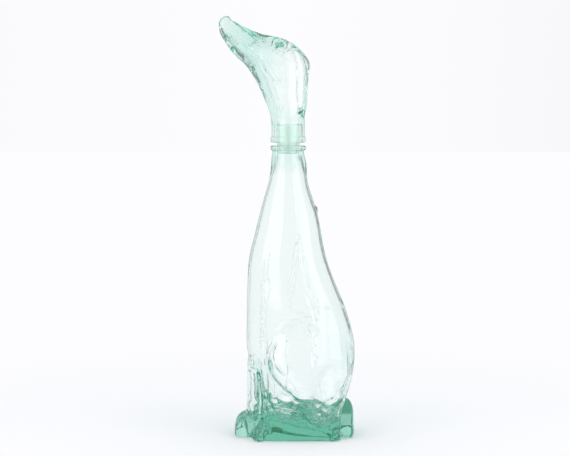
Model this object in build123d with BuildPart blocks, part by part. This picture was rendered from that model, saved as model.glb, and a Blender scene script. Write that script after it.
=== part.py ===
from build123d import *
import os
from math import cos, radians, sin

# A seated hound in moulded green glass, whose head is the stopper. Millimetres, +Z up.
# The hound looks along -X, and the origin is on the table, under the middle of the mouth.

# Trunk of the bottle
finish_foot = 237           # height at which the neck meets the finish of the mouth
chest_reach = 35.4          # from the axis of the mouth to the front of the chest
back_reach = 57.6           # from the same axis to the rump
trunk_half_width = 31
widest_shift = 9            # how far behind the axis the rump is widest
glass_wall = 2.6
floor_height = 14           # thickness of the glass under the hollow
floor_boss_length = 34      # lump of glass left in the middle of the floor
floor_boss_width = 44
floor_boss_height = 34
floor_boss_setback = 16

# Finish of the mouth
neck_radius = 14.15
finish_height = 9.9
ring_radius = 14.95
ring_height = 4.2
ring_round = 1.4
waist_radius = 13.4         # groove under the ring
waist_drop = 1.6            # height of that groove
mouth_radius = 9.3
mouth_round = 0.6
mouth_depth = 12

# Haunch, from the thigh down to the hock
haunch_length = 74.2
haunch_half_width = 17
haunch_height = 107
haunch_inset = 1.2          # from the rump forwards to the back of the haunch
haunch_spread = 17.5
haunch_turn = 15            # degrees by which the haunch draws in towards the rump
haunch_wall = 3.2

# Foreleg and its paw
foreleg_height = 68
foreleg_radius = 5.4
foreleg_depth_share = 0.78  # how much thinner the leg is from front to back
foreleg_setting = 30.4      # from the axis of the mouth forwards to the middle of the leg
foreleg_spread = 9.5
foreleg_wall = 2            # glass of the leg round the hollow that both forelegs share
brisket_half_width = 6.5    # glass between the forelegs, which also joins them to the trunk
brisket_length = 15
brisket_height = 66
paw_half_length = 11.6
paw_half_width = 6.9
paw_half_height = 12.5
paw_setting = 34
paw_centre_height = 6.5
paw_toes = 3

# Hind foot
foot_length = 74
foot_half_width = 9.3
foot_height = 21.5
heel_inset = 13.6           # from the rump forwards to the heel
foot_spread = 25
foot_toes = 4
toe_length = 15.2
toe_width = 5.4
toe_height = 13.6
toe_pitch = 19              # degrees between neighbouring toes of the hind foot
toe_splay = 16              # degrees by which the middle of the toes turns outwards
toe_centre_share = 0.33     # height of the middle of a toe over the table
toe_root_share = 0.9        # part of a toe that stands in front of the hind foot

# Tail and withers
tail_length = 13.5
tail_width = 40             # where it lies on the table
tail_height = 30.6
tail_inset = 2.1            # from the rump forwards to the end of the tail
withers_height = 192
withers_size = 1.8
withers_sink = 0.5          # how deep the middle of the nub stands in the back

# Plug
plug_clearance = 0.05       # running clearance all round the plug
plug_collar_radius = 9.65
plug_gap = 2.4              # plug showing between the mouth and the head
plug_step = 0.6             # how far below the head the plug widens to its upper half
plug_entry = 7.4            # depth of the plug in the mouth
plug_seat = 15              # depth of the plug in the head
plug_wall = 1.9
plug_crown = 2              # closed upper end
plug_ribs = 3
plug_rib = 0.45             # how far a sealing rib stands out
plug_chamfer = 0.6

# Head
head_rise = 106.7           # from the foot of the head to the tip of the nose
muzzle_reach = 58.8         # from the axis of the mouth to the front of the nose
crown_reach = 17            # from the same axis to the back edge of the ears
head_half_width = 17
head_neck_radius = 14.2
head_neck_height = 13
head_bead_radius = 14.95
head_bead_height = 4.6
head_bore_radius = 10
head_shoulder = 0.7         # step that stops the plug in the bore
head_bead_round = 1.8
ear_length = 58
ear_tip_height = 24         # from the foot of the head to the tips of the ears
ear_half_width = 5.8
ear_thickness = 3.8
ear_turn = 38               # degrees by which the ear follows the side of the skull
eye_length = 8.4
eye_height = 6.2
eye_depth = 6.4
nose_half_length = 4.2
nose_half_width = 5.4
nose_half_height = 6
nose_sink = 1.2             # how deep the middle of the nose stands in the muzzle
lip_length = 24             # groove between the lips
lip_width = 1.6
lip_depth = 3.2
lip_slope = 30              # degrees

finish_top = finish_foot + finish_height
head_foot = finish_top + plug_gap


def ellipsoid(half_x, half_y, half_z, place):
    with BuildPart() as ball:
        Sphere(1)
        scale(by=(half_x, half_y, half_z))
    return ball.part.moved(place)


def grown(start, reach, share):
    return start + (reach - start) * share


# Trunk: height, then how far the front, the back and the sides have grown from the neck
trunk_shares = (
    (0.000, 0.74, 0.60, 0.64),
    (0.045, 0.66, 0.67, 0.75),
    (0.100, 0.39, 0.73, 0.79),
    (0.160, 0.42, 0.84, 0.83),
    (0.215, 0.56, 0.93, 0.87),
    (0.258, 0.81, 0.97, 0.91),
    (0.300, 0.965, 0.99, 0.95),
    (0.388, 1.00, 0.92, 1.00),
    (0.473, 0.99, 0.77, 0.97),
    (0.561, 0.96, 0.57, 0.88),
    (0.646, 0.88, 0.41, 0.76),
    (0.730, 0.66, 0.32, 0.61),
    (0.797, 0.48, 0.25, 0.46),
    (0.861, 0.285, 0.14, 0.29),
    (0.928, 0.08, 0.043, 0.10),
    (1.000, 0.00, 0.00, 0.00),
)
# Hollow: where it starts to close, the part of the trunk's section that is left at the floor
floor_shares = ((0.0, 0.70), (0.22, 0.88), (0.42, 0.92), (1.0, 1.0))
hollow_start = 3            # first row of the trunk that the hollow follows whole


def trunk_reaches(height_share):
    rows = [row for row in trunk_shares if row[0] >= height_share]
    after = rows[0]
    before = trunk_shares[max(trunk_shares.index(after) - 1, 0)]
    span = after[0] - before[0]
    blend = (height_share - before[0]) / span if span else 0
    front, back, side = (before[i] + (after[i] - before[i]) * blend for i in (1, 2, 3))
    return (
        grown(neck_radius, chest_reach, front),
        grown(neck_radius, back_reach, back),
        grown(neck_radius, trunk_half_width, side),
        widest_shift * back,
    )


def egg_section(height, front, back, side, middle):
    # One half ellipse forwards and one backwards from the widest place
    with BuildSketch(Plane.XY.offset(height)) as section:
        with BuildLine():
            EllipticalCenterArc((middle, 0), back - middle, side, start_angle=-90, arc_size=180)
            EllipticalCenterArc((middle, 0), front + middle, side, start_angle=90, arc_size=180)
        make_face()
    return section.sketch


trunk_sections = [egg_section(finish_foot * row[0], *trunk_reaches(row[0])) for row in trunk_shares]
with BuildPart() as trunk:
    loft(trunk_sections)

# Hollow of the trunk: the same sections drawn in by the wall, closed to the bore at the top
hollow_top = finish_top - mouth_depth
closing_height = finish_foot * trunk_shares[hollow_start][0]
hollow_stations = [(grown(floor_height, closing_height, climb), kept) for climb, kept in floor_shares]
hollow_stations += [(finish_foot * row[0], 1) for row in trunk_shares[hollow_start + 1 : -1]]
hollow_sections = []
for height, kept_share in hollow_stations:
    *reaches, middle = trunk_reaches(height / finish_foot)
    inner_reaches = [(reach - glass_wall) * kept_share for reach in reaches]
    hollow_sections.append(egg_section(height, *inner_reaches, middle))
hollow_sections.append(egg_section(hollow_top, mouth_radius, mouth_radius, mouth_radius, 0))
with BuildPart() as trunk_hollow:
    loft(hollow_sections)

# Lump of glass that the mould leaves in the middle of the floor, sunk to its lower half
floor_boss = ellipsoid(
    floor_boss_length / 2,
    floor_boss_width / 2,
    floor_boss_height - floor_height,
    Location((floor_boss_setback, 0, floor_height)),
)
floor_boss = split(floor_boss, bisect_by=Plane.XY.offset(floor_height / 2), keep=Keep.TOP)

# Haunch: height, how far its front and back lie before its back edge, half width and spread.
# The front edge runs down and back to the hock, beside the heel.
haunch_shares = (
    (0.00, 0.34, 0.18, 0.47, 1.42),
    (0.06, 0.40, 0.18, 0.57, 1.40),
    (0.13, 0.52, 0.17, 0.70, 1.34),
    (0.23, 0.64, 0.135, 0.82, 1.24),
    (0.35, 0.775, 0.08, 0.93, 1.12),
    (0.47, 0.92, 0.02, 1.00, 1.03),
    (0.58, 1.00, 0.00, 1.02, 1.00),
    (0.70, 0.985, 0.02, 0.97, 0.98),
    (0.82, 0.925, 0.12, 0.82, 0.96),
    (0.92, 0.795, 0.26, 0.58, 0.96),
    (1.00, 0.64, 0.36, 0.30, 0.96),
)
haunch_hollow_start = 3     # first row of the haunch that its hollow follows whole
haunch_foot_share = 0.6     # part of that row which is left at the floor


def haunch_section(height, front, back, half_width, spread):
    with BuildSketch(Plane(((front + back) / 2, -spread, height)).rotated((0, 0, haunch_turn))) as section:
        Ellipse((back - front) / 2, half_width)
    return section.sketch


haunch_back = back_reach - haunch_inset
haunch_stations = [
    (
        haunch_height * height_share,
        haunch_back - haunch_length * front_share,
        haunch_back - haunch_length * back_share,
        haunch_half_width * width_share,
        haunch_spread * spread_share,
    )
    for height_share, front_share, back_share, width_share, spread_share in haunch_shares
]
with BuildPart() as haunch:
    loft([haunch_section(*station) for station in haunch_stations])

haunch_hollow_sections = []
for height, front, back, half_width, spread in haunch_stations[haunch_hollow_start:-1]:
    inner = (front + haunch_wall, back - haunch_wall, half_width - haunch_wall)
    haunch_hollow_sections.append(haunch_section(height, *inner, spread))
height, front, back, half_width, spread = haunch_stations[haunch_hollow_start]
middle = (front + back) / 2
reach = ((back - front) / 2 - haunch_wall) * haunch_foot_share
foot_width = (half_width - haunch_wall) * haunch_foot_share
haunch_foot = haunch_section(floor_height, middle - reach, middle + reach, foot_width, spread)
haunch_hollow_sections.insert(0, haunch_foot)
with BuildPart() as haunch_hollow:
    loft(haunch_hollow_sections)

# Foreleg: height, step forwards and thickness
foreleg_shares = (
    (0.00, 0.10, 1.30),
    (0.22, 0.10, 1.20),
    (0.42, 0.02, 1.05),
    (0.60, -0.06, 0.96),
    (0.78, 0.00, 1.00),
    (0.90, -0.08, 0.94),
    (1.00, -0.50, 0.60),
)
with BuildPart() as foreleg:
    for height_share, step_share, girth_share in foreleg_shares:
        centre_x = -foreleg_setting - step_share * foreleg_radius
        with BuildSketch(Plane((centre_x, -foreleg_spread, foreleg_height * height_share))):
            Ellipse(foreleg_radius * foreleg_depth_share * girth_share, foreleg_radius * girth_share)
    loft()

brisket_place = Plane((brisket_length / 2 - foreleg_setting - foreleg_radius * foreleg_depth_share, 0, 0))
with BuildPart() as brisket:
    with BuildSketch(brisket_place):
        RectangleRounded(brisket_length, 2 * brisket_half_width, brisket_half_width / 2)
    extrude(amount=brisket_height)

# Hollow that both forelegs share, closed above the paws and open to the trunk at the top: height,
# step forwards, thickness and how far it reaches to each side
foreleg_hollow_shares = (
    (0.18, 0.00, 0.45, 0.45),
    (0.27, 0.00, 0.85, 0.85),
    (0.43, 0.00, 1.00, 1.00),
    (0.70, 0.00, 1.00, 0.96),
    (0.84, -0.18, 1.00, 0.80),
    (0.94, -0.42, 1.05, 0.64),
    (1.02, -0.52, 1.20, 0.56),
)
with BuildPart() as foreleg_hollow:
    for height_share, step_share, girth_share, spread_share in foreleg_hollow_shares:
        centre_x = -foreleg_setting - step_share * foreleg_radius
        with BuildSketch(Plane((centre_x, 0, foreleg_height * height_share))):
            Ellipse(
                (foreleg_radius * foreleg_depth_share - foreleg_wall) * girth_share,
                (foreleg_spread + foreleg_radius - foreleg_wall) * spread_share,
            )
    loft()

paw = ellipsoid(
    paw_half_length,
    paw_half_width,
    paw_half_height,
    Location((-paw_setting, -foreleg_spread, paw_centre_height)),
)
toe_centre = toe_height * toe_centre_share
paw_toe_pitch = 2 * paw_half_width / paw_toes
paw_toe_reach = paw_setting + paw_half_length - toe_length / 2
paw_toe_set = [
    ellipsoid(
        toe_length / 2,
        toe_width / 2,
        toe_height / 2,
        Location((-paw_toe_reach, paw_toe_pitch * (n - (paw_toes - 1) / 2) - foreleg_spread, toe_centre)),
    )
    for n in range(paw_toes)
]

# Hind foot: distance from the heel, width and height of each section
foot_shares = (
    (0.00, 0.50, 0.30),
    (0.02, 0.70, 0.38),
    (0.07, 0.88, 0.46),
    (0.22, 0.95, 0.58),
    (0.45, 1.00, 0.76),
    (0.66, 1.00, 0.94),
    (0.79, 0.97, 0.98),
    (0.88, 0.88, 0.82),
    (0.95, 0.72, 0.56),
)
foot_sink_share = 0.42      # height of the middle of a section over the table
foot_heel = back_reach - heel_inset
with BuildPart() as hind_foot:
    for length_share, width_share, rise_share in foot_shares:
        rise = foot_height * rise_share
        centre_x = foot_heel - foot_length * length_share
        station = Plane((centre_x, -foot_spread, rise * foot_sink_share), x_dir=(0, 1, 0), z_dir=(1, 0, 0))
        with BuildSketch(station):
            Ellipse(foot_half_width * width_share, rise * (1 - foot_sink_share))
    loft()

toe_root = foot_heel - foot_length + toe_length * toe_root_share
foot_toe_set = []
for n in range(foot_toes):
    turn = toe_splay + toe_pitch * (n - (foot_toes - 1) / 2)
    reach = toe_length / 2
    spread = foot_spread + reach * sin(radians(turn))
    setting = toe_root - reach * cos(radians(turn))
    foot_toe_set.append(
        ellipsoid(
            toe_length / 2,
            toe_width / 2,
            toe_height / 2,
            Location((setting, -spread, toe_centre), (0, 0, turn)),
        )
    )

# Stub of the tail, which spreads out on the table: height, thickness and width
tail_shares = (
    (0.00, 0.80, 0.96),
    (0.10, 1.00, 1.00),
    (0.35, 1.00, 0.90),
    (0.66, 1.00, 0.62),
    (0.88, 0.76, 0.36),
    (1.00, 0.38, 0.18),
)
tail_corner_share = 0.42
tail_middle = back_reach - tail_inset - tail_length / 2
with BuildPart() as tail:
    for height_share, girth_share, width_share in tail_shares:
        with BuildSketch(Plane((tail_middle, 0, tail_height * height_share))):
            RectangleRounded(
                tail_length * girth_share,
                tail_width * width_share,
                tail_length * girth_share * tail_corner_share,
            )
    loft()

# Finish of the mouth: neck, groove, ring and rounded lip, turned about the axis
with BuildPart() as finish:
    with BuildSketch(Plane.XZ) as finish_profile:
        with BuildLine():
            Polyline(
                (mouth_radius, finish_foot),
                (neck_radius, finish_foot),
                (waist_radius, finish_top - ring_height - waist_drop),
                (waist_radius, finish_top - ring_height),
                (ring_radius, finish_top - ring_height),
                (ring_radius, finish_top),
                (mouth_radius, finish_top),
                close=True,
            )
        make_face()
        fillet(finish_profile.vertices().group_by(Axis.X)[-1], ring_round)
        fillet(finish_profile.vertices().group_by(Axis.Y)[-1].sort_by(Axis.X)[0], mouth_round)
    revolve(axis=Axis.Z)

withers_reach = trunk_reaches(withers_height / finish_foot)[1]
withers = ellipsoid(
    withers_size,
    withers_size,
    withers_size * 2,
    Location((withers_reach - withers_sink, 0, withers_height)),
)

with BuildPart() as bottle_body:
    add(trunk.part)
    for limb in (haunch.part, foreleg.part, paw, *paw_toe_set, hind_foot.part, *foot_toe_set):
        add(limb)
        mirror(limb, about=Plane.XZ)
    add(brisket.part)
    add(tail.part)
    add(withers)
    split(bisect_by=Plane.XY, keep=Keep.TOP)
    add(trunk_hollow.part, mode=Mode.SUBTRACT)
    add(haunch_hollow.part, mode=Mode.SUBTRACT)
    mirror(haunch_hollow.part, about=Plane.XZ, mode=Mode.SUBTRACT)
    add(foreleg_hollow.part, mode=Mode.SUBTRACT)
    add(floor_boss)
    with Locations((0, 0, finish_foot)):
        Cylinder(mouth_radius, mouth_depth, mode=Mode.SUBTRACT)
    add(finish.part)

# Plug: a closed thimble with sealing ribs, open downwards
spigot_radius = mouth_radius - plug_clearance - plug_rib
head_spigot_radius = head_bore_radius - plug_clearance
plug_foot = finish_top - plug_entry
plug_top = head_foot + plug_seat
rib_pitch = plug_entry / (plug_ribs + 1)
with BuildPart() as stopper_plug:
    with BuildSketch(Plane.XZ) as plug_profile:
        with BuildLine():
            Polyline(
                (0, plug_foot),
                (spigot_radius, plug_foot),
                (spigot_radius, finish_top + plug_clearance),
                (plug_collar_radius, finish_top + plug_clearance),
                (plug_collar_radius, head_foot - plug_step),
                (head_spigot_radius, head_foot - plug_step),
                (head_spigot_radius, plug_top),
                (0, plug_top),
                close=True,
            )
        make_face()
        chamfer(plug_profile.vertices().group_by(Axis.Y)[-1].sort_by(Axis.X)[-1], plug_chamfer)
        with Locations([(spigot_radius, plug_foot + rib_pitch * (n + 1)) for n in range(plug_ribs)]):
            Circle(plug_rib)
    revolve(axis=Axis.Z)
    with Locations(Plane((0, 0, plug_foot), z_dir=(0, 0, -1))):
        Hole(spigot_radius - plug_wall, depth=plug_top - plug_foot - plug_crown)

# Head: each section spans from a place on the throat or jaw to a place on the nape or brow. Both are
# given by how far they have grown from the neck to the front of the nose, and by their share of the
# head's height, with the half width.
head_shares = (
    (0.014, 0.185, 0.000, 0.185, 0.84),
    (0.052, 0.262, -0.005, 0.262, 0.86),
    (0.148, 0.356, -0.017, 0.384, 0.90),
    (0.287, 0.483, -0.051, 0.540, 0.96),
    (0.440, 0.584, -0.051, 0.640, 1.00),
    (0.578, 0.645, 0.078, 0.750, 0.97),
    (0.703, 0.695, 0.275, 0.825, 0.80),
    (0.816, 0.755, 0.485, 0.855, 0.62),
    (0.908, 0.815, 0.686, 0.908, 0.50),
    (0.971, 0.870, 0.831, 0.962, 0.40),
    (0.985, 0.914, 0.893, 0.996, 0.29),
)
# Hollow of the head, given the same way from its narrowest place
head_hollow_shares = (
    (0.040, 0.262, -0.029, 0.262, 0.62),
    (0.065, 0.356, -0.037, 0.384, 0.68),
    (0.115, 0.480, -0.066, 0.530, 0.75),
    (0.204, 0.575, -0.057, 0.625, 0.76),
    (0.222, 0.650, 0.059, 0.715, 0.66),
    (0.168, 0.715, 0.197, 0.765, 0.40),
)


def span_plane(radius, front_share, front_rise_share, back_share, back_rise_share):
    jaw_reach = grown(radius, muzzle_reach, front_share)
    nape_reach = grown(-radius, muzzle_reach, back_share)
    front = Vector(-jaw_reach, 0, head_foot + head_rise * front_rise_share)
    back = Vector(-nape_reach, 0, head_foot + head_rise * back_rise_share)
    along = back - front
    middle = front + along / 2
    return Plane(middle, x_dir=along, z_dir=along.cross(Vector(0, 1, 0))), along.length / 2


with BuildPart() as skull:
    with BuildSketch(Plane.XY.offset(head_foot + head_neck_height)):
        Ellipse(head_neck_radius, head_neck_radius)
    for *span, width_share in head_shares:
        station, half_span = span_plane(head_neck_radius, *span)
        with BuildSketch(station):
            Ellipse(half_span, head_half_width * width_share)
    loft()
    with Locations((0, 0, head_foot)):
        Cylinder(head_neck_radius, head_neck_height, align=(Align.CENTER, Align.CENTER, Align.MIN))

# Nose: a bulb that rounds off the last section of the muzzle
nose_plane, nose_half_span = span_plane(head_neck_radius, *head_shares[-1][:4])
nose = ellipsoid(
    nose_half_height,
    nose_half_width,
    nose_half_length,
    nose_plane.offset(-nose_sink).location,
)

plug_bore_top = head_foot + plug_seat + plug_clearance
hollow_mouth_radius = head_bore_radius - head_shoulder
with BuildPart() as head_hollow:
    for height in (plug_bore_top - head_shoulder, plug_bore_top + head_shoulder):
        with BuildSketch(Plane.XY.offset(height)):
            Ellipse(hollow_mouth_radius, hollow_mouth_radius)
    for *span, width_share in head_hollow_shares:
        station, half_span = span_plane(hollow_mouth_radius, *span)
        with BuildSketch(station):
            Ellipse(half_span, head_half_width * width_share)
    loft()

# Ear: height below its root, then its middle, half width, thickness and spread from the middle
ear_shares = (
    (0.00, 0.25, 0.42, 0.40, 0.60),
    (0.14, 0.48, 0.82, 0.80, 0.69),
    (0.40, 0.68, 1.00, 1.00, 0.67),
    (0.66, 0.70, 1.00, 1.00, 0.63),
    (0.86, 0.68, 0.86, 1.30, 0.58),
    (1.00, 0.62, 0.66, 1.60, 0.52),
)
with BuildPart() as ear:
    for drop_share, middle_share, width_share, thickness_share, spread_share in ear_shares:
        height = head_foot + ear_tip_height + ear_length * (1 - drop_share)
        centre = (crown_reach * middle_share, -head_half_width * spread_share, height)
        with BuildSketch(Plane(centre).rotated((0, 0, ear_turn))):
            Ellipse(ear_half_width * width_share, ear_thickness / 2 * thickness_share)
    loft()

with BuildPart() as head_bead:
    with BuildSketch(Plane.XZ) as bead_profile:
        with Locations((0, head_foot)):
            Rectangle(head_bead_radius, head_bead_height, align=(Align.MIN, Align.MIN))
        fillet(bead_profile.vertices().group_by(Axis.X)[-1], head_bead_round)
    revolve(axis=Axis.Z)

# Places on the side of the head: forwards of the axis, above the foot and out from the middle
eye_place_shares = (0.13, 0.765, 0.74)
eye_slope = -25             # degrees
eye = ellipsoid(
    eye_length / 2,
    eye_depth / 2,
    eye_height / 2,
    Location(
        (
            -muzzle_reach * eye_place_shares[0],
            -head_half_width * eye_place_shares[2],
            head_foot + head_rise * eye_place_shares[1],
        ),
        (0, eye_slope, 0),
    ),
)

lip_place_shares = (0.69, 0.775, 0.50)
lip = ellipsoid(
    lip_length / 2,
    lip_depth / 2,
    lip_width / 2,
    Location(
        (
            -muzzle_reach * lip_place_shares[0],
            -head_half_width * lip_place_shares[2],
            head_foot + head_rise * lip_place_shares[1],
        ),
        (0, lip_slope, 0),
    ),
)

with BuildPart() as head_stopper:
    add(skull.part)
    add(head_bead.part)
    add(nose)
    for relief in (ear.part, eye):
        add(relief)
        mirror(relief, about=Plane.XZ)
    add(lip, mode=Mode.SUBTRACT)
    mirror(lip, about=Plane.XZ, mode=Mode.SUBTRACT)
    add(head_hollow.part, mode=Mode.SUBTRACT)
    with Locations(Plane((0, 0, head_foot), z_dir=(0, 0, -1))):
        Hole(head_bore_radius, depth=plug_seat + plug_clearance)

pieces = {
    "bottle_body": bottle_body,
    "stopper_plug": stopper_plug,
    "head_stopper": head_stopper,
}

os.makedirs("parts", exist_ok=True)
for name, piece in pieces.items():
    piece.part.label = name
    export_step(piece.part, f"parts/{name}.step")
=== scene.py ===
import bmesh
import bpy
import json
import math
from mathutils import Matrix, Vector, kdtree, noise
from mathutils.bvhtree import BVHTree


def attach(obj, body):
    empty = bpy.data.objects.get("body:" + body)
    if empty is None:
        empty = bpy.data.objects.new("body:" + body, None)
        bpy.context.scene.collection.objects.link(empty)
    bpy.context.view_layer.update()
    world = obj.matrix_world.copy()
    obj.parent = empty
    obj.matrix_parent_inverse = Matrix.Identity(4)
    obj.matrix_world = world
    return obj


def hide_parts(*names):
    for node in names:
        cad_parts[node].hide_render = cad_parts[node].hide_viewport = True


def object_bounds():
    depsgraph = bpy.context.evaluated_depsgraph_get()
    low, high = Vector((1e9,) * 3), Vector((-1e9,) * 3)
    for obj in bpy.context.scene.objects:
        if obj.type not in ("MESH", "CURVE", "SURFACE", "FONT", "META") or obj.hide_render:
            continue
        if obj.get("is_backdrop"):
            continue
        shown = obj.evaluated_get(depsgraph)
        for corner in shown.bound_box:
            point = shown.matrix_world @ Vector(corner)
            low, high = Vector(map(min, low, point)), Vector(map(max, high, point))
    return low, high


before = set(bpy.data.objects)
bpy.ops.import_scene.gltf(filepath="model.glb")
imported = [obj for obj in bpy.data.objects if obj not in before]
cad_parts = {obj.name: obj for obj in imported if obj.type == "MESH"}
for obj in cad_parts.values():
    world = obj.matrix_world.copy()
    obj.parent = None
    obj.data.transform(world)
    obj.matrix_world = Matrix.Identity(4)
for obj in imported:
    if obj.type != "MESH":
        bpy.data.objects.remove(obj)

mm = 0.001
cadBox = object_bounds()
print("frame loaded")


# Studio: what the camera and the lamps are given, in metres unless it says mm
camera = {
    "distance": 1303 * mm,    # from the middle of the frame's plane to the lens
    "height": 268 * mm,       # of the lens over the table
    "aim": (-2.7 * mm, 0, 176.8 * mm),
    "frameWidth": 484.5 * mm,  # what the frame's width takes in at the object
    "sensor": 36,             # in millimetres, as Blender counts it
    "farthest": 50,           # what lies further off isn't drawn
}

studio = {
    "white": "#FDFDFF",
    "floor": "#FBFCFE",
    "floorRadius": 12,
    "floorSegments": 96,
    "floorFade": (0.10, 0.55),  # where the floor starts to pale and where it is the backdrop's white
    "floorGap": 0.3 * mm,     # keeps the table's face off the base of the glass
    "fill": 0.84,             # how strongly the surroundings light the object
    # how bright the surroundings look, by the sideways share of a look, from the left to the right
    "aside": (
        (-1, 1), (-0.72, 0.97), (-0.64, 0.60), (-0.54, 0.70), (-0.42, 0.95), (-0.20, 0.97),
        (0, 1), (0.20, 0.95), (0.40, 0.90), (0.55, 0.26), (0.64, 0.30), (0.72, 0.92),
    ),
    # name, size, place and power of each lamp
    "lamps": (
        ("leftScrim", (1.7, 2.2), (-1.5, -1.3, 0.75), 15),
        ("rightScrim", (1.7, 2.2), (1.6, -1.2, 0.75), 15),
        ("slitLamp", (0.02, 1.1), (0.62, -1.25, 0.50), 0.5),
    ),
    "bounces": 32,            # light crosses many skins of glass before it comes out
}

lens = Vector((camera["aim"][0], 0, camera["height"]))
lens.y = -math.sqrt(camera["distance"] ** 2 - (camera["height"] - camera["aim"][2]) ** 2)


def linear(hexColour):
    values = [int(hexColour[i:i + 2], 16) / 255 for i in (1, 3, 5)]
    return [v / 12.92 if v <= 0.04045 else ((v + 0.055) / 1.055) ** 2.4 for v in values] + [1]


def addNode(tree, kind, links=(), **settings):
    node = tree.nodes.new(kind)
    for name, value in settings.items():
        if hasattr(node, name):
            setattr(node, name, value)
        else:
            node.inputs[name.replace("_", " ")].default_value = value
    for socket, source in links:
        tree.links.new(source, node.inputs[socket])
    return node


def newMaterial(name):
    material = bpy.data.materials.new(name)
    material.use_nodes = True
    material.node_tree.nodes.clear()
    return material, material.node_tree


def place(obj):
    bpy.context.scene.collection.objects.link(obj)
    return obj


def turnedTo(target, spot):
    return (Vector(target) - Vector(spot)).to_track_quat("-Z", "Y").to_euler()


def makeCamera():
    data = bpy.data.cameras.new("camera")
    data.sensor_width = camera["sensor"]
    data.lens = camera["sensor"] * camera["distance"] / camera["frameWidth"]
    data.clip_end = camera["farthest"]
    obj = place(bpy.data.objects.new("camera", data))
    obj.location = lens
    obj.rotation_euler = turnedTo(camera["aim"], lens)
    bpy.context.scene.camera = obj


def makeLights():
    for name, size, spot, power in studio["lamps"]:
        data = bpy.data.lights.new(name, "AREA")
        data.shape = "RECTANGLE"
        data.size, data.size_y = size
        data.energy = power
        obj = place(bpy.data.objects.new(name, data))
        obj.location = spot
        obj.rotation_euler = turnedTo(camera["aim"], spot)


def seenStraight(tree):
    # 1 for camera, mirror and glass rays, which show the backdrop; 0 for the rays that light the object
    path = addNode(tree, "ShaderNodeLightPath")
    glossy = addNode(tree, "ShaderNodeMath", operation="MAXIMUM", links=(
        (0, path.outputs["Is Camera Ray"]), (1, path.outputs["Is Glossy Ray"])))
    return addNode(tree, "ShaderNodeMath", operation="MAXIMUM", links=(
        (0, glossy.outputs[0]), (1, path.outputs["Is Transmission Ray"])))


def makeWorld():
    world = bpy.data.worlds.new("studio")
    world.use_nodes = True
    tree = world.node_tree
    tree.nodes.clear()
    fill = addNode(tree, "ShaderNodeBackground", Color=linear(studio["white"]), Strength=studio["fill"])
    # What is seen is a bright backdrop all round, with one narrow darker strip at each side: the glass
    # turns looks near its outlines that far, so the strips draw its edges. The right one is the darker.
    where = addNode(tree, "ShaderNodeTexCoord")
    axes = addNode(tree, "ShaderNodeSeparateXYZ", links=((0, where.outputs["Generated"]),))
    side = addNode(tree, "ShaderNodeMapRange", From_Min=-1, From_Max=1,
                   links=(("Value", axes.outputs["X"]),))
    level = addNode(tree, "ShaderNodeValToRGB", links=((0, side.outputs["Result"]),))
    steps = level.color_ramp.elements
    for share, strength in studio["aside"]:
        step = steps[0] if share == -1 else steps.new((share + 1) / 2)
        step.color = (strength, strength, strength, 1)
    steps.remove(steps[-1])
    shown = addNode(tree, "ShaderNodeBackground", Color=linear(studio["white"]),
                    links=(("Strength", level.outputs["Color"]),))
    mix = addNode(tree, "ShaderNodeMixShader", links=(
        (0, seenStraight(tree).outputs[0]), (1, fill.outputs[0]), (2, shown.outputs[0])))
    addNode(tree, "ShaderNodeOutputWorld", links=(("Surface", mix.outputs[0]),))
    bpy.context.scene.world = world


def makeFloor():
    mesh = bpy.data.meshes.new("floor")
    bm = bmesh.new()
    bmesh.ops.create_circle(bm, cap_ends=True, segments=studio["floorSegments"],
                            radius=studio["floorRadius"])
    bm.to_mesh(mesh)
    bm.free()
    floor = place(bpy.data.objects.new("floor", mesh))
    # Matt painted table: it takes a soft shadow near the object and is the backdrop's white further off
    material, tree = newMaterial("paintedTable")
    where = addNode(tree, "ShaderNodeTexCoord")
    away = addNode(tree, "ShaderNodeVectorMath", operation="LENGTH", links=((0, where.outputs["Object"]),))
    start, end = studio["floorFade"]
    fade = addNode(tree, "ShaderNodeMapRange", interpolation_type="SMOOTHSTEP", From_Min=start,
                   From_Max=end, links=(("Value", away.outputs["Value"]),))
    paint = addNode(tree, "ShaderNodeBsdfDiffuse", Color=linear(studio["floor"]))
    white = addNode(tree, "ShaderNodeEmission", Color=linear(studio["white"]), Strength=1)
    amount = addNode(tree, "ShaderNodeMath", operation="MULTIPLY", links=(
        (0, fade.outputs["Result"]), (1, seenStraight(tree).outputs[0])))
    mix = addNode(tree, "ShaderNodeMixShader", links=(
        (0, amount.outputs[0]), (1, paint.outputs[0]), (2, white.outputs[0])))
    addNode(tree, "ShaderNodeOutputMaterial", links=(("Surface", mix.outputs[0]),))
    mesh.materials.append(material)
    floor.location.z = -studio["floorGap"]
    floor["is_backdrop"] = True


makeCamera()
makeLights()
makeWorld()
makeFloor()
print("studio made")


# Moulded soda-lime glass from recycled cullet: clear where it is thin, sea green where it is thick,
# with a fire-polished skin that stays a little wavy
recycledGlass = {
    "ior": 1.52,
    "roughness": (0.0, 0.03),  # polished, and where the mould has dulled it
    "dullPatch": 9 * mm,
    "dullFrom": (0.55, 0.8),  # how far up the noise of the patches the dulling starts and is full
    "ripple": 7 * mm,         # from one ripple of the skin to the next
    "rippleTwist": 0.4,
    "rippleDepth": 0.03 * mm,
    "tint": "#6FDCC8",        # colour left after light crosses one absorption length
    "density": 36,            # absorption per metre of glass
    "shadowTint": "#E6F4EF",
    "edge": (0.64, 0.84),     # from which to which facing away the outline darkens with painted shade
    # painted shade at the outline, standing in for the dim surroundings the glass turns its looks to there
    "paintedEdgeShade": "#6A8682",
}
# The head is of the same glass, but clearer, with closer ripples and a paler painted shade at its outlines
headGlass = {
    **recycledGlass,
    "density": 27,
    "ripple": 5 * mm,
    "rippleDepth": 0.035 * mm,
    "paintedEdgeShade": "#B4CCC7",
}


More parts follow.
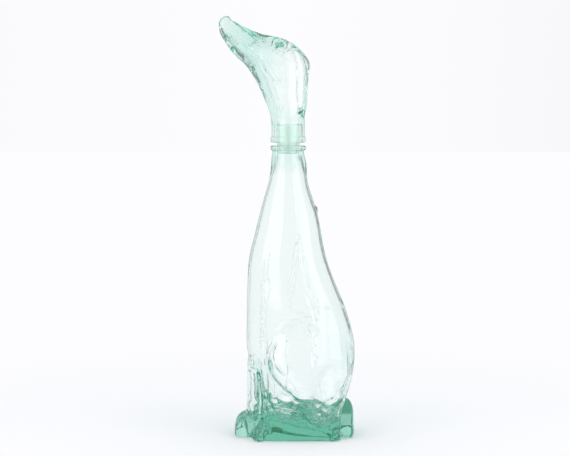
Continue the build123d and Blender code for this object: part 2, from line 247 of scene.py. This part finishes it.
def makeGlass(name, settings):
    material, tree = newMaterial(name)
    where = addNode(tree, "ShaderNodeTexCoord").outputs["Object"]
    dull = addNode(tree, "ShaderNodeTexNoise", Scale=1 / settings["dullPatch"], Detail=3,
                   links=(("Vector", where),))
    start, full = settings["dullFrom"]
    low, high = settings["roughness"]
    rough = addNode(tree, "ShaderNodeMapRange", From_Min=start, From_Max=full, To_Min=low, To_Max=high,
                    links=(("Value", dull.outputs["Fac"]),))
    ripple = addNode(tree, "ShaderNodeTexNoise", Scale=1 / settings["ripple"], Detail=2,
                     Distortion=settings["rippleTwist"], links=(("Vector", where),))
    skin = addNode(tree, "ShaderNodeBump", Strength=1, Distance=settings["rippleDepth"],
                   links=(("Height", ripple.outputs["Fac"]),))
    # Painted shade: where the skin faces away, its colour and its reflections darken towards the edge shade,
    # standing in for the dim surroundings seen at the outline
    away = addNode(tree, "ShaderNodeLayerWeight", Blend=0.5)
    edge = addNode(tree, "ShaderNodeValToRGB", links=((0, away.outputs["Facing"]),))
    paintedShades = ("#FFFFFF", settings["paintedEdgeShade"])
    for step, share, colour in zip(edge.color_ramp.elements, settings["edge"], paintedShades):
        step.position = share
        step.color = linear(colour)
    glass = addNode(tree, "ShaderNodeBsdfPrincipled", IOR=settings["ior"], links=(
        ("Base Color", edge.outputs["Color"]), ("Specular Tint", edge.outputs["Color"]),
        ("Roughness", rough.outputs["Result"]), ("Normal", skin.outputs["Normal"])))
    glass.inputs["Transmission Weight"].default_value = 1
    through = addNode(tree, "ShaderNodeBsdfTransparent", Color=linear(settings["shadowTint"]))
    path = addNode(tree, "ShaderNodeLightPath")
    mix = addNode(tree, "ShaderNodeMixShader", links=(
        (0, path.outputs["Is Shadow Ray"]), (1, glass.outputs[0]), (2, through.outputs[0])))
    depth = addNode(tree, "ShaderNodeVolumeAbsorption", Color=linear(settings["tint"]),
                    Density=settings["density"])
    addNode(tree, "ShaderNodeOutputMaterial", links=(
        ("Surface", mix.outputs[0]), ("Volume", depth.outputs[0])))
    return material


# Moulded low-density polyethylene: waxy, milky, lets light through without a clear image
polyethylene = {
    "colour": "#EEF4F0",
    "paintedShadeColour": "#D6E6DC",   # painted shade: darker bands round the plug, standing in for the dim gaps between the lamps' reflections
    "ribs": 8,
    "ior": 1.51,
    "roughness": 0.38,
    "grain": 0.8 * mm,
    "grainDepth": 0.01 * mm,
    "scatter": 0.6,
    "scatterDepth": 4 * mm,
}


def makePolyethylene(name, settings):
    material, tree = newMaterial(name)
    where = addNode(tree, "ShaderNodeTexCoord").outputs["Object"]
    axes = addNode(tree, "ShaderNodeSeparateXYZ", links=((0, where),))
    # Painted shade: bands of the darker colour lie round the plug at fixed turns, where the lamps' reflections
    # leave dim gaps
    turn = addNode(tree, "ShaderNodeMath", operation="ARCTAN2", links=(
        (0, axes.outputs["Y"]), (1, axes.outputs["X"])))
    turns = addNode(tree, "ShaderNodeMath", operation="MULTIPLY", links=((0, turn.outputs[0]),))
    turns.inputs[1].default_value = settings["ribs"]
    wave = addNode(tree, "ShaderNodeMath", operation="COSINE", links=((0, turns.outputs[0]),))
    band = addNode(tree, "ShaderNodeValToRGB", links=((0, wave.outputs[0]),))
    band.color_ramp.elements[0].color = linear(settings["colour"])
    band.color_ramp.elements[1].color = linear(settings["paintedShadeColour"])
    grain = addNode(tree, "ShaderNodeTexNoise", Scale=1 / settings["grain"], Detail=3,
                    links=(("Vector", where),))
    skin = addNode(tree, "ShaderNodeBump", Distance=settings["grainDepth"],
                   links=(("Height", grain.outputs["Fac"]),))
    wax = addNode(tree, "ShaderNodeBsdfPrincipled", IOR=settings["ior"], Roughness=settings["roughness"],
                  links=(("Base Color", band.outputs["Color"]), ("Normal", skin.outputs["Normal"])))
    wax.inputs["Subsurface Weight"].default_value = settings["scatter"]
    wax.inputs["Subsurface Radius"].default_value = (1, 1, 1)
    wax.inputs["Subsurface Scale"].default_value = settings["scatterDepth"]
    addNode(tree, "ShaderNodeOutputMaterial", links=(("Surface", wax.outputs[0]),))
    return material


# How the glass is worked, for both pieces, in millimetres
work = {
    "weld": 0.002,            # points of the cast form that are closer than this are one
    "polish": (0.5, -0.52),   # smoothing out and back in, which rounds a skin without shrinking it
    "melt": (0.5,),           # smoothing alone, which also shrinks it
    "settle": 0.25,           # smoothing of the hollow after each breath
    "groove": 0.5,            # smoothing of a pressed groove
    "sway": 2.2,              # from one sway of a drawn line to the next
    "swaySeed": 7.3,          # keeps two lines from swaying alike
    "rimCorner": 5,           # faces round a corner of a turned rim
    "rimWeld": 0.001,
}


def rimOf(bm):
    return [edge for edge in bm.edges if edge.is_boundary]


def soften(bm, verts, factor):
    bmesh.ops.smooth_vert(bm, verts=verts, factor=factor, use_axis_x=True, use_axis_y=True, use_axis_z=True)


def cutAt(bm, height, keepAbove):
    bmesh.ops.bisect_plane(bm, geom=bm.verts[:] + bm.edges[:] + bm.faces[:], plane_co=(0, 0, height * mm),
                           plane_no=(0, 0, 1), clear_inner=keepAbove, clear_outer=not keepAbove)


def castSide(nodeName, height, keepAbove, outside):
    # One side of the cast wall, cut off at a height where it is round and closed there by a lid
    bm = bmesh.new()
    bm.from_mesh(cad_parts[nodeName].data)
    bmesh.ops.remove_doubles(bm, verts=bm.verts, dist=work["weld"] * mm)
    cutAt(bm, height, keepAbove)
    rim = [vert for edge in rimOf(bm) for vert in edge.verts]
    pick = max if outside else min
    reached = {pick(rim, key=lambda vert: vert.co.xy.length)}
    waiting = list(reached)
    while waiting:
        for edge in waiting.pop().link_edges:
            for vert in edge.verts:
                if vert not in reached:
                    reached.add(vert)
                    waiting.append(vert)
    bmesh.ops.delete(bm, geom=[vert for vert in bm.verts if vert not in reached], context="VERTS")
    bmesh.ops.edgeloop_fill(bm, edges=rimOf(bm))
    bmesh.ops.recalc_face_normals(bm, faces=bm.faces)
    return bm


def relaid(bm, voxel, cling=None):
    # A closed skin laid over again with even faces, which may cling to a cast form
    mesh = bpy.data.meshes.new("cast")
    bm.to_mesh(mesh)
    bm.free()
    form = place(bpy.data.objects.new("cast", mesh))
    skin = form.modifiers.new("skin", "REMESH")
    skin.mode = "VOXEL"
    skin.voxel_size = voxel * mm
    if cling:
        form.modifiers.new("cling", "SHRINKWRAP").target = cling
    done = bpy.data.meshes.new_from_object(form.evaluated_get(bpy.context.evaluated_depsgraph_get()))
    bm = bmesh.new()
    bm.from_mesh(done)
    bpy.data.objects.remove(form)
    bpy.data.meshes.remove(mesh)
    bpy.data.meshes.remove(done)
    return bm


def polish(bm, rounds, where=lambda spot: True, factors=work["polish"]):
    # Fire polish: rounds off the skin at some places, and leaves its open rim alone
    held = {vert for edge in rimOf(bm) for vert in edge.verts}
    soft = [vert for vert in bm.verts if where(vert.co) and vert not in held]
    for _ in range(rounds):
        for factor in factors:
            soften(bm, soft, factor)


def polishZones(bm, zones):
    for rounds, front, foot, top, factors in zones:
        polish(bm, rounds, lambda spot: spot.x > front * mm and foot * mm < spot.z < top * mm, work[factors])


def smoothstep(share):
    share = min(max(share, 0), 1)
    return share ** 2 * (3 - 2 * share)


def blow(hollow, outer, wallAt, rounds, step, settle=work["settle"]):
    # The closed hollow swells inside the outer skin until the wall is as thin as asked,
    # and draws back where it would be thinner than that
    tree = BVHTree.FromBMesh(outer)
    for _ in range(rounds):
        hollow.normal_update()
        for vert in hollow.verts:
            least, most = wallAt(vert.co)
            near, normal, _, away = tree.find_nearest(vert.co)
            if (near - vert.co).dot(normal) < 0:
                away = -away
            if away > most:
                vert.co += vert.normal * min(away - most, step * mm)
            elif away < least:
                vert.co -= normal * min(least - away, step * mm)
        if settle:
            soften(hollow, hollow.verts, settle)


def waver(bm, depth, length, low, high, blend, stretch, seed):
    # Slow waves of the glass, faded out above and below
    depth, length, low, high, blend = (size * mm for size in (depth, length, low, high, blend))
    bm.normal_update()
    for vert in bm.verts:
        inside = min((vert.co.z - low) / blend, (high - vert.co.z) / blend, 1)
        if inside > 0:
            spot = Vector((vert.co.x, vert.co.y, vert.co.z / stretch)) / length
            vert.co += vert.normal * noise.noise(spot + Vector((seed, seed, seed))) * depth * inside


def walk(path, step, wobble, seed):
    # Points along a drawn line, pushed sideways by its wobble
    points = [Vector((x * mm, 0, z * mm)) for x, z in path]
    for start, end in zip(points, points[1:]):
        along = end - start
        aside = along.normalized().cross(Vector((0, 1, 0)))
        for n in range(max(round(along.length / step), 1)):
            spot = start + along * n * step / along.length
            sway = noise.noise(spot / (work["sway"] * mm) + Vector((0, seed, 0)))
            yield spot + aside * sway * wobble
    yield points[-1]


def press(bm, lines, step, margins):
    # Lines drawn as the side view shows them are thrown from the lens onto the near side of the glass,
    # mirrored to the far side, and pressed in or raised there, after the faces near them are divided
    tree = BVHTree.FromBMesh(bm)
    marks = []
    for n, (_, depth, width, wobble, path) in enumerate(lines):
        for spot in walk(path, step * mm, wobble * mm, n * work["swaySeed"]):
            hit = tree.ray_cast(lens, (spot - lens).normalized())[0]
            if hit:
                marks.append((hit, depth * mm, width * mm))
                far = tree.find_nearest(Vector((hit.x, -hit.y, hit.z)))[0]
                marks.append((far, depth * mm, width * mm))
    for margin in (*margins, 0):
        bm.verts.ensure_lookup_table()
        finder = kdtree.KDTree(len(bm.verts))
        for n, vert in enumerate(bm.verts):
            finder.insert(vert.co, n)
        finder.balance()
        push = {}
        for spot, depth, width in marks:
            for _, n, away in finder.find_range(spot, width + margin * mm):
                share = max(1 - away / width, 0)
                if abs(depth * share) >= abs(push.get(n, 0)):
                    push[n] = depth * share
        if margin:
            near = {bm.verts[n] for n in push}
            edges = [edge for edge in bm.edges if edge.verts[0] in near and edge.verts[1] in near]
            bmesh.ops.subdivide_edges(bm, edges=edges, cuts=1, use_grid_fill=True)
    bm.normal_update()
    moves = [(bm.verts[n], bm.verts[n].normal * depth) for n, depth in push.items()]
    for vert, move in moves:
        vert.co += move
    # grooves are softened once, so that hardly a face folds over where the glass turns sharply
    soften(bm, [bm.verts[n] for n, depth in push.items() if depth < 0], work["groove"])


def turnedRim(profile, rounds, segments):
    # A rim turned on the lathe from its profile of radius and height, its corners rounded in turn
    bm = bmesh.new()
    verts = [bm.verts.new((radius * mm, 0, height * mm)) for radius, height in profile]
    for start, end in zip(verts, verts[1:]):
        bm.edges.new((start, end))
    for vert, radius in zip(verts[1:-1], rounds):
        bmesh.ops.bevel(bm, geom=[vert], offset=radius * mm, segments=work["rimCorner"], profile=0.5,
                        affect="VERTICES", material=-1)
    for edge in bm.edges[:]:
        cuts = int(edge.calc_length() / mm)
        if cuts:
            bmesh.ops.subdivide_edges(bm, edges=[edge], cuts=cuts)
    bmesh.ops.spin(bm, geom=bm.verts[:] + bm.edges[:], axis=(0, 0, 1), cent=(0, 0, 0), angle=math.tau,
                   steps=segments, use_merge=True)
    bmesh.ops.remove_doubles(bm, verts=bm.verts, dist=work["rimWeld"] * mm)
    return bm


def joined(name, outer, inner, rim):
    # Outer skin, inner skin and turned rim made one closed wall
    bm = bmesh.new()
    for part in (outer, inner, rim):
        mesh = bpy.data.meshes.new("part")
        part.to_mesh(mesh)
        part.free()
        bm.from_mesh(mesh)
        bpy.data.meshes.remove(mesh)
    bm.edges.index_update()
    loops = []
    left = set(rimOf(bm))
    while left:
        loop = {left.pop()}
        waiting = list(loop)
        while waiting:
            for vert in waiting.pop().verts:
                for edge in vert.link_edges:
                    if edge in left:
                        left.remove(edge)
                        loop.add(edge)
                        waiting.append(edge)
        loops.append(sorted(loop, key=lambda edge: edge.index))
    # the two narrow loops lie in the bore, the two wide ones outside
    loops.sort(key=lambda loop: sum(edge.verts[0].co.xy.length for edge in loop) / len(loop))
    for pair in (loops[:2], loops[2:]):
        bmesh.ops.bridge_loops(bm, edges=[edge for loop in pair for edge in loop])
    bmesh.ops.recalc_face_normals(bm, faces=bm.faces)
    for face in bm.faces:
        face.smooth = True
    mesh = bpy.data.meshes.new(name)
    bm.to_mesh(mesh)
    bm.free()
    return place(bpy.data.objects.new(name, mesh))


def finishPiece(piece, material, body, node):
    piece.data.materials.clear()
    piece.data.materials.append(material)
    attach(piece, body)
    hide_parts(node)
    print(piece.name, sum(len(face.vertices) - 2 for face in piece.data.polygons), "triangles")


# Bottle, all lengths in millimetres and all heights over the table
bottle = {
    "lid": 240.6,             # where the cast form is closed while its skin is laid
    "trim": 238.5,            # where the skins end and the turned rim takes over
    "outerVoxel": 1.35,
    "innerVoxel": 1.7,
    # fire polish of the outer skin: rounds, how far back it starts, from which height to which, and its kind
    "outerPolish": (
        (4, -100, -10, 400, "polish"),
        (10, -100, 30, 400, "polish"),
        (30, 34, 34, 112, "polish"),   # rump
        (20, 2, 66, 112, "melt"),      # edge of the haunch
    ),
    "innerPolish": 30,        # rounds before the hollow is blown
    "blownPolish": 6,         # and after it
    "breaths": 8,
    "breath": 0.5,            # how far the hollow swells or draws back at a time
    "drawBacks": 6,
    "wall": 1.8,              # glass of the neck, trunk and haunches
    "wallFoot": (12, 36),     # heights between which the wall takes over from the thick foot
    "footWall": 8,            # how much more glass there is at the lower one
    "rimWall": 4.5,           # glass at the mouth, which thins over the taper
    "rimTaper": 19,
    "rimKeep": 2,             # the hollow stays as it is cast from this far under the trim
    "rumpWall": 3.8,          # glass along the back of the rump
    "rump": (30, 52, 116),    # it is further back than this, and between these heights
    "rumpFade": (10, 16, 25),  # over which lengths it thins forwards, downwards and upwards
    "legWall": 1.5,           # glass of the forelegs
    "legs": (-28, 12, 66),    # they are further forwards than this, and between these heights
    "behindLegs": -13,        # from there to the legs the glass stays as thick as it is cast
    # polish of the hollows of the legs: rounds, and how much further back and up than the legs it reaches
    "legMelt": (16, 0, 20),
    "legPolish": (110, 4, 24),
    "leastWall": 1.3,
    # profile of the mouth: radius and height, then how much each corner is rounded
    "rim": (
        (13.78, 239.1), (13.4, 241.1), (13.4, 242.7), (14.95, 242.7), (14.95, 246.9), (9.3, 246.9), (9.3, 239.1),
    ),
    "rimRounds": (0.5, 0.5, 1.4, 1.4, 0.6),
    "rimSegments": 96,
    # waves: how deep and how long they are, and between which heights they run and how they blend out there
    "skinWave": {"depth": 0.16, "length": 11, "low": 20, "high": 232, "blend": 20, "stretch": 3.0, "seed": 3.7},
    "wallWave": {"depth": 0.18, "length": 13, "low": 20, "high": 232, "blend": 20, "stretch": 2.5, "seed": 9.1},
    # unevenness of the glass left on the floor of the hollow
    "floorWave": {"depth": 1.5, "length": 6.5, "low": 0, "high": 44, "blend": 12, "stretch": 0.6, "seed": 5.2},
    # from mark to mark along a pressed line, and how far beside the line the faces are divided, in turn
    "press": {"step": 0.4, "margins": (0.6, 0.15)},
}

# Lines of the coat: depth (- pressed in, + raised), half width and wobble, then the line in the side view
coatLines = (
    ("haunchTop", -0.5, 1.6, 0.0, ((10, 100), (1, 98.6), (-5, 94), (-9.5, 87.5))),
    ("flankFur", 1.1, 0.95, 1.6, ((8.3, 160), (6.6, 151), (5.8, 143), (2.7, 128), (2.1, 114), (1.5, 106.5))),
    ("chestFurFront", -0.8, 0.75, 1.4, ((-16.3, 151), (-18, 137), (-15.5, 124), (-18.9, 111), (-19.7, 60))),
    ("chestFurBack", 0.8, 0.8, 1.6, ((-20, 146), (-22, 124), (-22, 100), (-23.5, 74))),
    ("ribFur", 0.6, 0.9, 0.8, ((9.2, 168), (12.6, 156), (16.8, 137), (21, 122), (26.2, 103.7))),
    ("flankFold", -0.5, 0.9, 0.5, ((19.4, 108), (27, 108.6), (36.4, 107.6))),
    ("haunchFurTop", 0.7, 0.8, 1.8, ((-4.4, 85.8), (10, 96), (17, 93.5), (25.3, 90))),
    ("haunchFurMiddle", 0.7, 0.8, 2.0, ((12.6, 97), (15.1, 90), (18.5, 83), (20.2, 73), (25.3, 64.6))),
    ("thighCreaseTop", -0.9, 0.6, 0.6, ((-1.0, 77.4), (-1.2, 64.6))),
    ("thighCreaseFoot", -0.9, 0.6, 0.6, ((-1.5, 49.3), (-1.2, 37.4))),
    ("legBack", -0.8, 0.8, 0.3, ((-17.2, 52), (-17.0, 40), (-17.4, 27))),
    ("footTop", -0.8, 0.8, 0.4, (
        (-30.8, 14.5), (-18.5, 19), (-13.8, 20.4), (0.7, 16.7), (19.1, 10.5), (36.1, 4.5))),
    ("footFold", 0.8, 0.9, 1.0, ((-12, 24.5), (2, 21), (14, 16.5), (26, 12))),
    ("footUnder", -0.7, 0.8, 0.8, ((-16, 12.5), (-4, 9.5), (8, 6.5), (22, 4.5))),
)
# grooves between the toes, which spread a little towards the table
toeGrooves = tuple(
    (f"toe{n}", -0.8, 1.1, 0.3, ((-28.5 + 3.0 * n, 10.5), (-29.2 + 3.2 * n, 5.5), (-29.6 + 3.4 * n, 0.8)))
    for n in range(5)
)


def makeBottle():
    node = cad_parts["bottle_body"]
    outer, inner = (castSide("bottle_body", bottle["lid"], False, outside) for outside in (True, False))
    outer = relaid(outer, bottle["outerVoxel"], node)
    polishZones(outer, bottle["outerPolish"])
    inner = relaid(inner, bottle["innerVoxel"], node)
    legFront, legFoot, legTop = (length * mm for length in bottle["legs"])
    behind = bottle["behindLegs"] * mm
    rumpFront, rumpFoot, rumpTop = (length * mm for length in bottle["rump"])
    fadeFront, fadeFoot, fadeTop = (length * mm for length in bottle["rumpFade"])
    least = bottle["leastWall"] * mm

    def polishLegs(rounds, back, up, factors):
        polish(inner, rounds, lambda spot: (
            spot.x < behind + back * mm and legFoot < spot.z < legTop + up * mm), factors)

    def wallAt(spot):
        low, high = bottle["wallFoot"]
        if spot.z > (bottle["trim"] - bottle["rimKeep"]) * mm:
            return -1, 1
        if spot.x < behind and legFoot < spot.z < legTop:
            return least, bottle["legWall"] * mm if spot.x < legFront else 1
        if spot.z > low * mm:
            thin = min((spot.z / mm - low) / (high - low), 1)
            thick = smoothstep(1 - (bottle["trim"] - spot.z / mm) / bottle["rimTaper"])
            back = max(min((spot.x - rumpFront) / fadeFront, (spot.z - rumpFoot) / fadeFoot,
                           (rumpTop - spot.z) / fadeTop, 1), 0)
            return least, (bottle["wall"] + (1 - thin) ** 2 * bottle["footWall"]
                           + thick * (bottle["rimWall"] - bottle["wall"])
                           + back * (bottle["rumpWall"] - bottle["wall"])) * mm
        return least, 1

    polishLegs(*bottle["legMelt"], work["melt"])
    polish(inner, bottle["innerPolish"])
    print("bottle skins laid")
    blow(inner, outer, wallAt, bottle["breaths"], bottle["breath"])
    polish(inner, bottle["blownPolish"])
    polishLegs(*bottle["legPolish"], work["polish"])
    # the polish swelled the hollows of the legs, so they draw back where the glass got too thin
    blow(inner, outer, lambda spot: (least if spot.z < rumpTop else -1, 1), bottle["drawBacks"],
         bottle["breath"], 0)
    for skin in (outer, inner):
        cutAt(skin, bottle["trim"], False)
    bmesh.ops.reverse_faces(inner, faces=inner.faces)
    print("bottle hollow blown")
    waver(outer, **bottle["skinWave"])
    waver(inner, **bottle["wallWave"])
    waver(inner, **bottle["floorWave"])
    press(outer, coatLines + toeGrooves, **bottle["press"])
    print("coat pressed")
    rim = turnedRim(bottle["rim"], bottle["rimRounds"], bottle["rimSegments"])
    piece = joined("bottleGlass", outer, inner, rim)
    finishPiece(piece, makeGlass("bottleRecycledGlass", recycledGlass), "bottle", "bottle_body")


makeBottle()


# Head, all lengths in millimetres and all heights over the table
head = {
    "lid": 255.3,
    "trim": 257.6,            # where the outer skin ends
    "boreLid": 264.7,
    "boreTrim": 266.6,        # where the skin of the hollow ends
    "boreKeep": 2,            # the hollow stays as it is cast up to this far over it
    "outerVoxel": 0.85,
    "innerVoxel": 0.95,
    "outerPolish": (
        (5, -100, -10, 400, "polish"),
        (25, -2, 322, 400, "polish"),  # top of the skull
    ),
    "innerPolish": 10,        # rounds before the hollow is blown
    "blownMelt": 4,           # and after it, and after its skin is laid again
    "blownPolish": 16,
    "breaths": 24,
    "breath": 0.8,
    "wall": 1.9,              # glass of the neck and skull
    "leastWall": 1.5,
    "throatWall": 9,          # it thickens towards the throat and the muzzle, which is solid
    "throat": (-1, -30),      # where forwards it starts and where it is full
    "rimWall": 4.6,           # glass over the bore, which thins over the taper
    "rimTaper": 17,
    # profile of the foot, as for the mouth of the bottle
    "rim": (
        (14.2, 257.0), (14.2, 253.9), (14.95, 253.9), (14.95, 249.3),
        (10, 249.3), (10, 264.35), (9.3, 264.35), (9.3, 266.0),
    ),
    "rimRounds": (0.6, 1.8, 1.8, 0.5, 0.2, 0.2),
    "rimSegments": 128,
    "skinWave": {"depth": 0.22, "length": 7, "low": 262, "high": 380, "blend": 10, "stretch": 1.6, "seed": 1.3},
    "wallWave": {"depth": 0.22, "length": 7, "low": 270, "high": 380, "blend": 10, "stretch": 1.6, "seed": 7.9},
    "press": {"step": 0.3, "margins": (0.5, 0.1)},
}

# Lines of the head, as for the coat
headLines = (
    ("muzzleRidge", -0.6, 1.5, 0.5, ((-48, 353), (-37, 343), (-22, 332.5))),
    ("muzzleBevel", 0.35, 1.2, 0.2, ((-46, 355), (-35, 346), (-20, 335.5))),
    ("lip", -0.4, 0.9, 0.4, ((-51, 341), (-42.6, 335), (-31.6, 327.3), (-24, 321))),
    ("lipUpper", -0.4, 0.9, 0.5, ((-53, 348), (-44, 340.5), (-32, 332), (-24, 326))),
    ("lipLower", 0.4, 0.9, 0.5, ((-52, 337), (-44, 330.5), (-35, 322), (-28, 314))),
    ("cheekLens", 0.8, 2.0, 0.2, ((-22.5, 314.5), (-19, 309), (-13.5, 302.5))),
    ("browOuter", -0.7, 1.0, 0.8, ((-14, 330), (-11, 337), (-5, 338), (-0.5, 334), (-1.5, 328))),
    ("browInner", 0.6, 1.1, 0.8, ((-11, 330), (-8, 333), (-4, 332), (-5, 327.5))),
    ("browLid", -0.7, 0.9, 0.6, ((-13, 326), (-8, 329.5), (-6.5, 326.5), (-10, 323.5))),
    ("throatFold", -0.45, 1.0, 0.6, ((-27, 308), (-22.5, 296), (-19, 288))),
    ("neckFold", -0.30, 1.0, 0.5, ((-11.6, 281), (-10.6, 270), (-10.9, 262))),
    ("neckSpot", -0.6, 1.0, 0.2, ((-3.6, 282), (-3.6, 279))),
    ("earBack", -0.6, 1.0, 0.3, ((15.5, 297), (14.0, 288), (13.6, 277), (12.0, 272.5), (8.8, 270.2))),
    ("skullFurFront", -0.22, 1.1, 1.6, ((-6, 318), (-4, 305), (-7, 292))),
    ("skullFurMiddle", -0.22, 1.1, 1.6, ((2, 322), (4, 308), (1, 294), (3, 284))),
    ("skullFurBack", 0.25, 1.1, 1.4, ((8, 318), (9.5, 306), (7, 290))),
)


def makeHead():
    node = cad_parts["head_stopper"]
    outer = relaid(castSide("head_stopper", head["lid"], True, True), head["outerVoxel"], node)
    polishZones(outer, head["outerPolish"])
    inner = relaid(castSide("head_stopper", head["boreLid"], True, False), head["innerVoxel"], node)
    polish(inner, head["innerPolish"])
    print("head skins laid")

    def wallAt(spot):
        start, full = head["throat"]
        forwards = min(max((spot.x / mm - start) / (full - start), 0), 1)
        thick = smoothstep(1 - (spot.z / mm - head["boreTrim"]) / head["rimTaper"])
        if spot.z < (head["boreTrim"] + head["boreKeep"]) * mm:
            return -1, 1
        return head["leastWall"] * mm, (head["wall"] + (head["throatWall"] - head["wall"]) * forwards
                                        + (head["rimWall"] - head["wall"]) * thick) * mm

    blow(inner, outer, wallAt, head["breaths"], head["breath"])
    inner = relaid(inner, head["innerVoxel"])
    polish(inner, head["blownMelt"], factors=work["melt"])
    polish(inner, head["blownPolish"])
    cutAt(outer, head["trim"], True)
    cutAt(inner, head["boreTrim"], True)
    bmesh.ops.reverse_faces(inner, faces=inner.faces)
    print("head hollow blown")
    waver(outer, **head["skinWave"])
    waver(inner, **head["wallWave"])
    press(outer, headLines, **head["press"])
    print("head lines pressed")
    rim = turnedRim(head["rim"], head["rimRounds"], head["rimSegments"])
    piece = joined("headGlass", outer, inner, rim)
    finishPiece(piece, makeGlass("headRecycledGlass", headGlass), "head", "head_stopper")


makeHead()

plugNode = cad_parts["stopper_plug"]
plugNode.data.materials.clear()
plugNode.data.materials.append(makePolyethylene("mouldedPolyethylene", polyethylene))
print("plug finished")

bpy.context.scene.view_settings.view_transform = "Standard"
cycles = bpy.context.scene.cycles
cycles.max_bounces = cycles.transmission_bounces = cycles.glossy_bounces = studio["bounces"]
cycles.transparent_max_bounces = studio["bounces"]

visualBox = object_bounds()
for corner in (*cadBox, *visualBox):
    json.dumps(list(corner))
